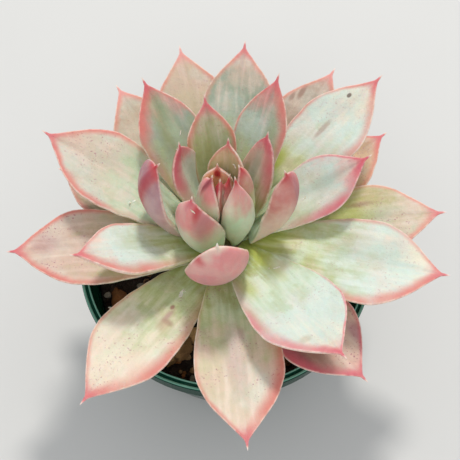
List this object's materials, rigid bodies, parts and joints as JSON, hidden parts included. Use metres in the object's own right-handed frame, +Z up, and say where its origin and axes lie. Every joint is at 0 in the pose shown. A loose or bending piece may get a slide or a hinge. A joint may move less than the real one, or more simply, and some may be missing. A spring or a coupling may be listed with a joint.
{
  "type": "potted rosette succulent",
  "caption": "Rosette succulent with thick pointed leaves round a short stem, growing in gritty soil in a round green plastic nursery pot.",
  "frame": {"origin": "centre of the pot's foot, on the surface it stands on", "axes": "+Z up along the pot's axis; -Y is the side towards the picture's camera; +X is the picture's right"},
  "size_m": [0.1287, 0.1248, 0.0948],
  "materials": {
    "leaf": "waxy bloom",
    "stem": "dry bark",
    "soil": "rough",
    "pot": "glossy"
  },
  "bodies": {
    "root": {"leaf_01": "leaf", "leaf_02": "leaf", "leaf_03": "leaf", "leaf_04": "leaf", "leaf_05": "leaf", "leaf_06": "leaf", "leaf_07": "leaf", "leaf_08": "leaf", "leaf_09": "leaf", "leaf_10": "leaf", "leaf_11": "leaf", "leaf_12": "leaf", "leaf_13": "leaf", "leaf_14": "leaf", "leaf_15": "leaf", "leaf_16": "leaf", "leaf_17": "leaf", "leaf_18": "leaf", "leaf_19": "leaf", "leaf_20": "leaf", "leaf_21": "leaf", "leaf_22": "leaf", "leaf_23": "leaf", "leaf_24": "leaf", "leaf_25": "leaf", "leaf_26": "leaf", "leaf_27": "leaf", "leaf_28": "leaf", "leaf_29": "leaf", "leaf_30": "leaf", "leaf_31": "leaf", "leaf_32": "leaf", "leaf_33": "leaf", "leaf_34": "leaf", "stem": "stem", "soil": "soil", "pot": "pot"}
  },
  "joints": []
}
